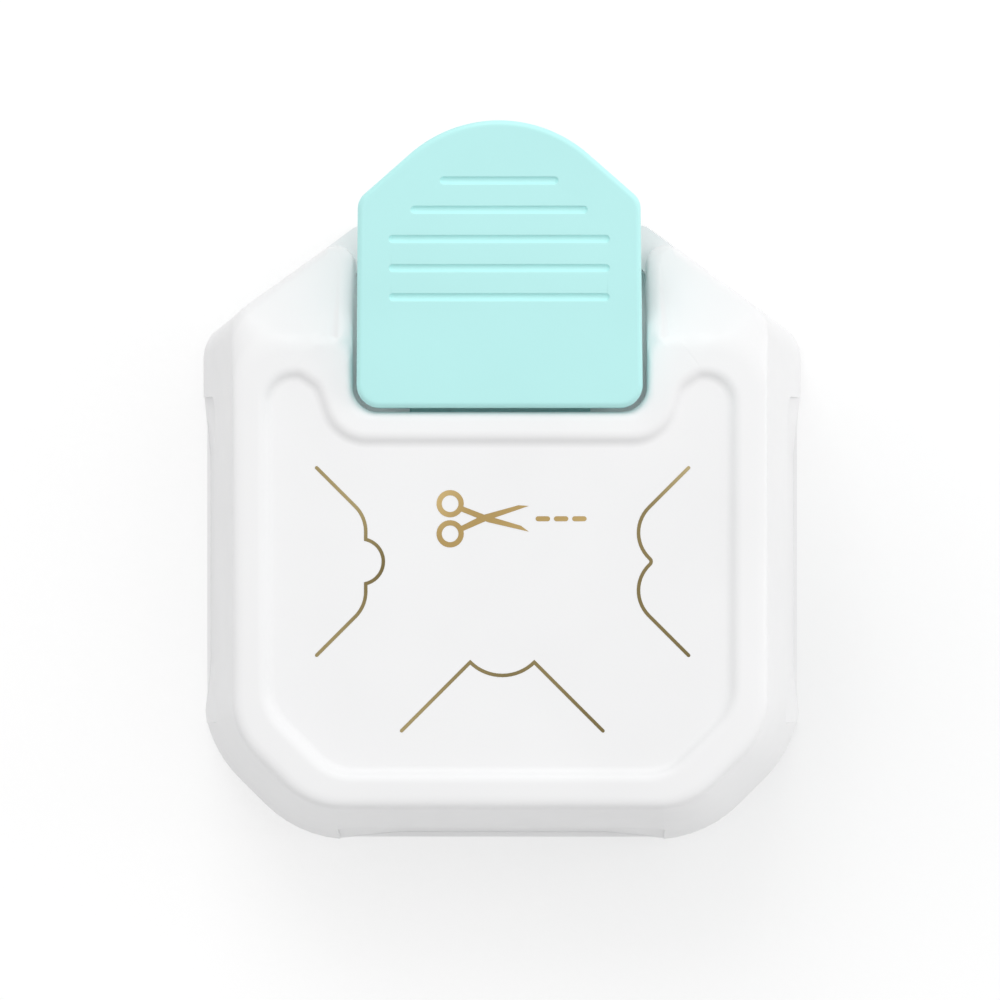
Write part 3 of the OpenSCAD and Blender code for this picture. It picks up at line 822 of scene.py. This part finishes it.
def make_mark():
    """A plain pair of scissors on a dashed cutting line, in the middle of the panel."""
    shape = Shape()
    centre = Vector((0.9, 2.3))
    cross = centre + Vector((-3.4, 0.0))
    half_open = math.radians(16)
    handle, handle_splay, blade = 5.6, 1.55, 7.4
    ring_r, neck, handle_half_w = 1.75, 1.9, 0.42
    for side in (-1, 1):
        rise = side * math.sin(half_open)
        ring_at = cross + Vector((-handle * math.cos(half_open), rise * handle * handle_splay))
        add_line(shape, arc_line(ring_at, ring_r, 0, 348, 28), handle_half_w, closed=True)
        start = ring_at + (cross - ring_at).normalized() * neck
        tip = cross + Vector((blade * math.cos(half_open), -rise * blade))
        width = Vector((start.y - tip.y, tip.x - start.x)).normalized()
        outline = [
            start + width * handle_half_w, cross + width * 0.62, cross.lerp(tip, 0.8) + width * 0.55,
            tip, cross.lerp(tip, 0.1) - width * 0.35, start - width * handle_half_w,
        ]
        # Each blade lies a little above what it crosses.
        blade_z = foil_z + 0.004 * (side + 2)
        shape.fill([shape.points([Vector((*p, blade_z)) for p in outline])])
    dash_start, dash_step, dash_len, dash_half_w = 5.2, 2.9, 1.5, 0.4
    for dash in range(3):
        x = centre.x + dash_start + dash * dash_step
        add_line(shape, [Vector((x, centre.y)), Vector((x + dash_len, centre.y))], dash_half_w)
    piece = shape.object("foil_mark")
    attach(piece, "housing")
    return piece


foil_mark = make_mark()

# ---------------------------------------------------------------- materials


class Look:
    """A procedural material round one shader."""

    def __init__(self, name, **inputs):
        self.material = bpy.data.materials.new(name)
        self.material.use_nodes = True
        self.nodes = self.material.node_tree.nodes
        self.links = self.material.node_tree.links
        self.shader = self.nodes["Principled BSDF"]
        for socket, value in inputs.items():
            self.shader.inputs[socket.replace("_", " ")].default_value = value
        self.place = self.nodes.new("ShaderNodeTexCoord").outputs["Object"]
        self.normal = None

    def stretched(self, scale, turn):
        """The object's own coordinates, scaled and turned."""
        mapping = self.nodes.new("ShaderNodeMapping")
        mapping.inputs["Scale"].default_value = scale
        mapping.inputs["Rotation"].default_value = turn
        self.links.new(self.place, mapping.inputs["Vector"])
        return mapping.outputs["Vector"]

    def noise(self, size_mm, detail=3.0, roughness=0.5, place=None):
        """Noise whose blotches are about size_mm across."""
        noise = self.nodes.new("ShaderNodeTexNoise")
        noise.inputs["Scale"].default_value = 1 / (size_mm * MM)
        noise.inputs["Detail"].default_value = detail
        noise.inputs["Roughness"].default_value = roughness
        self.links.new(place or self.place, noise.inputs["Vector"])
        return noise.outputs["Fac"]

    def ramp(self, value, stops):
        """A colour for the value, from stops of (value, colour)."""
        ramp = self.nodes.new("ShaderNodeValToRGB")
        elements = ramp.color_ramp.elements
        for element, (at, colour) in zip(elements, (stops[0], stops[-1])):
            element.position, element.color = at, (*colour, 1)
        for at, colour in stops[1:-1]:
            elements.new(at).color = (*colour, 1)
        self.links.new(value, ramp.inputs["Fac"])
        return ramp.outputs["Color"]

    def spread(self, value, low, high):
        """A noise's usual range, mapped to low..high."""
        spread = self.nodes.new("ShaderNodeMapRange")
        for socket, number in (("From Min", 0.3), ("From Max", 0.7), ("To Min", low), ("To Max", high)):
            spread.inputs[socket].default_value = number
        self.links.new(value, spread.inputs["Value"])
        return spread.outputs["Result"]

    def round_fade(self, centre, radius):
        """1 at the centre, which is in metres, falling smoothly to 0 at the radius."""
        fade = self.nodes.new("ShaderNodeTexGradient")
        fade.gradient_type = "QUADRATIC_SPHERE"
        mapping = self.nodes.new("ShaderNodeMapping")
        mapping.inputs["Location"].default_value = tuple(-c / radius for c in centre)
        mapping.inputs["Scale"].default_value = (1 / radius,) * 3
        self.links.new(self.place, mapping.inputs["Vector"])
        self.links.new(mapping.outputs["Vector"], fade.inputs["Vector"])
        return fade.outputs["Fac"]

    def feed(self, socket, value):
        self.links.new(value, self.shader.inputs[socket])

    def bump(self, height, depth_mm, strength=1.0):
        """Adds a relief on top of those that the material already has."""
        bump = self.nodes.new("ShaderNodeBump")
        bump.inputs["Distance"].default_value = depth_mm * MM
        bump.inputs["Strength"].default_value = strength
        self.links.new(height, bump.inputs["Height"])
        if self.normal:
            self.links.new(self.normal, bump.inputs["Normal"])
        self.normal = bump.outputs["Normal"]
        self.feed("Normal", self.normal)


def shade(colour, factor):
    return tuple(min(c * factor, 1.0) for c in colour)


def plastic(name, colour, roughness, grain_mm, grain_depth):
    """Moulded plastic: slow drifts of tone and gloss, a fine spark-eroded grain and a faint ripple."""
    look = Look(name, IOR=1.5)
    tones = [(0.3, shade(colour, 0.985)), (0.5, colour), (0.7, shade(colour, 1.01))]
    look.feed("Base Color", look.ramp(look.noise(22.0, 2.0), tones))
    look.feed("Roughness", look.spread(look.noise(3.0, 4.0), roughness - 0.05, roughness + 0.05))
    look.bump(look.noise(14.0, 1.0), 0.05, 0.5)
    look.bump(look.noise(grain_mm, 3.0, 0.6), grain_depth)
    return look


def metal(name, dark, light, roughness, brush_mm=None, depth=0.01):
    """Steel with brush lines or a fine blasted grain, and blotches of tone."""
    look = Look(name, Metallic=1.0)
    if brush_mm:
        lines = look.noise(brush_mm, 4.0, 0.6, look.stretched((0.04, 1.0, 1.0), (0, 0, math.radians(20))))
    else:
        lines = look.noise(0.35, 4.0, 0.6)
    look.feed("Base Color", look.ramp(look.noise(5.0, 3.0), [(0.3, dark), (0.7, light)]))
    look.feed("Roughness", look.spread(lines, roughness - 0.08, roughness + 0.1))
    look.bump(lines, depth)
    return look


def gilding(name, dark, middle, light):
    """Hot-stamped foil whose tone drifts slowly across it, a painted reflection gradient."""
    look = Look(name, Metallic=0.75)
    # The slow drift of base colour stands in for the changing reflection across the foil: a painted reflection.
    painted_reflection_drift = look.noise(26.0, 1.0, place=look.stretched((1.0, 1.0, 1.0), (0, 0, math.radians(45))))
    look.feed("Base Color", look.ramp(painted_reflection_drift, [(0.3, dark), (0.5, middle), (0.7, light)]))
    look.feed("Roughness", look.spread(look.noise(0.8, 4.0), 0.3, 0.48))
    look.bump(look.noise(0.5, 3.0), 0.01)
    return look


white = plastic("moulded_white", (0.86, 0.86, 0.865), 0.42, 0.32, 0.006)
mint = plastic("moulded_mint", (0.515, 0.915, 0.9), 0.45, 0.3, 0.008)
grey = plastic("moulded_grey", (0.55, 0.56, 0.57), 0.5, 0.4, 0.01)
tool = metal("ground_tool_steel", (0.42, 0.42, 0.43), (0.56, 0.56, 0.57), 0.32, 0.12)
bright = metal("bright_steel", (0.6, 0.6, 0.61), (0.72, 0.72, 0.73), 0.2, 0.2, 0.004)
black = metal("black_oxide_steel", (0.09, 0.09, 0.1), (0.16, 0.16, 0.17), 0.42)
spring_look = metal("spring_wire_steel", (0.4, 0.4, 0.41), (0.55, 0.55, 0.56), 0.28, 0.15)

mark_foil = gilding("gold_foil", (0.42, 0.29, 0.11), (0.6, 0.44, 0.2), (0.7, 0.54, 0.29))
line_foil = gilding("dark_gold_foil", (0.17, 0.13, 0.052), (0.33, 0.26, 0.12), (0.5, 0.41, 0.22))


def wear(piece, look):
    """Gives a piece one material."""
    piece.data.materials.clear()
    piece.data.materials.append(look.material)


LOOKS = {
    "housing_white": white, "lever_mint": mint, "guide_grey": grey, "tool_steel": tool,
    "bright_steel": bright, "dark_steel": black, "spring_steel": spring_look,
}

wear(housing, white)
wear(lever_pad, mint)
wear(lever_arm, mint)
for spring in springs:
    wear(spring, spring_look)
wear(foil_mark, mark_foil)
for piece in foil_outlines:
    wear(piece, line_foil)
for row in frame["record"]["subparts"]:
    node = frame["nodes"][row["node"]]
    if not node.hide_render:
        wear(node, LOOKS[row["material_slot"]])
        edge_mm = 0.1 if row["material_slot"] == "tool_steel" else 0.25
        finish_edges(node, 35.0, edge_mm, 40.0, 2, weld=True)

# ---------------------------------------------------------------- floor, light and camera

floor_mesh = bpy.data.meshes.new("floor")
floor_shape = bmesh.new()
bmesh.ops.create_grid(floor_shape, x_segments=4, y_segments=4, size=1.5)
floor_shape.to_mesh(floor_mesh)
floor_shape.free()
floor = bpy.data.objects.new("floor", floor_mesh)
floor.location.z = (floor_z - 0.1) * MM
bpy.context.scene.collection.objects.link(floor)
floor_look = Look("paper_floor", Roughness=0.9, Specular_IOR_Level=0.1, Emission_Strength=0.46)
floor_look.shader.inputs["Emission Color"].default_value = (1, 1, 1, 1)
# The floor's base colour is darker in a round patch to the object's right and front: a painted shadow.
paper, painted_shadow_paper = (0.55, 0.55, 0.55), (0.44, 0.445, 0.445)
painted_shadow_round = floor_look.round_fade((0.045, -0.025, 0), 0.12)
floor_look.feed("Base Color", floor_look.ramp(painted_shadow_round, [(0.0, paper), (1.0, painted_shadow_paper)]))
floor_look.bump(floor_look.noise(0.6, 3.0), 0.01)
wear(floor, floor_look)

world = bpy.data.worlds.new("studio")
bpy.context.scene.world = world
world.use_nodes = True
background = world.node_tree.nodes["Background"]
background.inputs["Color"].default_value = (1, 1, 1, 1)


def sky_node(kind, operation, *inputs):
    """A vector or number node of the world, with its inputs linked or set."""
    node = world.node_tree.nodes.new(kind)
    node.operation = operation
    for socket, value in zip(node.inputs, inputs):
        if isinstance(value, bpy.types.NodeSocket):
            world.node_tree.links.new(value, socket)
        else:
            socket.default_value = value
    return node


# A studio tent of broad white panels: each is brightest straight ahead and fades to nothing at its edge.
direction = world.node_tree.nodes.new("ShaderNodeTexCoord").outputs["Generated"]
sky = 0.0
for facing, strength in (((0, 0, 1), 1.12), ((0, 1, 0), 0.27), ((1, 0, 0), 0.14), ((-1, 0, 0), 0.07)):
    ahead = sky_node("ShaderNodeVectorMath", "DOT_PRODUCT", direction, facing).outputs["Value"]
    lit = sky_node("ShaderNodeMath", "MAXIMUM", ahead, 0.0).outputs["Value"]
    sky = sky_node("ShaderNodeMath", "MULTIPLY_ADD", lit, strength, sky).outputs["Value"]
world.node_tree.links.new(sky, background.inputs["Strength"])


def softbox(name, place, size, power):
    """A square light that faces the object."""
    light = bpy.data.lights.new(name, "AREA")
    light.shape = "SQUARE"
    light.size = size
    light.energy = power
    box = bpy.data.objects.new(name, light)
    box.location = place
    box.rotation_euler = (-Vector(place)).to_track_quat("-Z", "Y").to_euler()
    bpy.context.scene.collection.objects.link(box)


softbox("key", (-0.15, 0.95, 0.95), 0.7, 3.7)
softbox("low_fill", (1.3, 0.2, 0.35), 0.7, 4.0)

camera = bpy.data.cameras.new("camera")
view_height, view_width = 1.0, 0.165
camera.sensor_width = 36.0
camera.lens = camera.sensor_width * view_height / view_width
camera.clip_start, camera.clip_end = 0.01, 20.0
camera_at = bpy.data.objects.new("camera", camera)
aim_x, aim_y, offset_x = -0.33 * MM, 5.28 * MM, 10.0 * MM
camera_at.location = (aim_x + offset_x, aim_y, view_height)
camera_at.rotation_euler = (0, math.atan2(offset_x, view_height), 0)
bpy.context.scene.collection.objects.link(camera_at)
bpy.context.scene.camera = camera_at
bpy.context.scene.view_settings.view_transform = "Standard"
